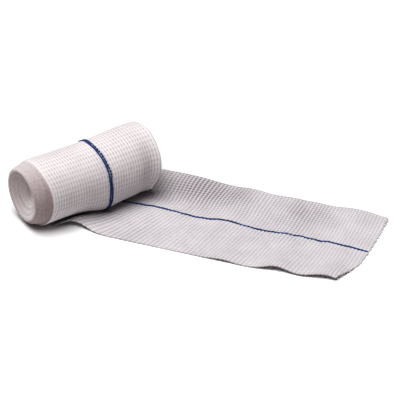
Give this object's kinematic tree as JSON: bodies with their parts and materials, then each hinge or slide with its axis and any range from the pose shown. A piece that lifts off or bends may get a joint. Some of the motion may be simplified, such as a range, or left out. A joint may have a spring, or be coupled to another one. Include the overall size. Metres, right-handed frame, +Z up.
{
  "type": "gauze bandage roll",
  "caption": "Part-unrolled stretch gauze bandage: a wound roll with a coned, dished near end, its loose end laid out flat beside it, and a blue marker thread down the middle of the strip.",
  "frame": {"origin": "on the floor, under the middle of the bounding box", "axes": "+X along the loose end towards its cut end, +Y across the loose end towards its far selvedge, +Z up"},
  "size_m": [0.2121, 0.0897, 0.0409],
  "materials": {
    "gauze_wound": "matt bleached stretch gauze, ribbed round the roll",
    "gauze_laid": "matt bleached stretch gauze, crinkled across the strip"
  },
  "bodies": {
    "root": {"wound_roll": "gauze_wound", "loose_end": "gauze_laid"}
  },
  "joints": []
}
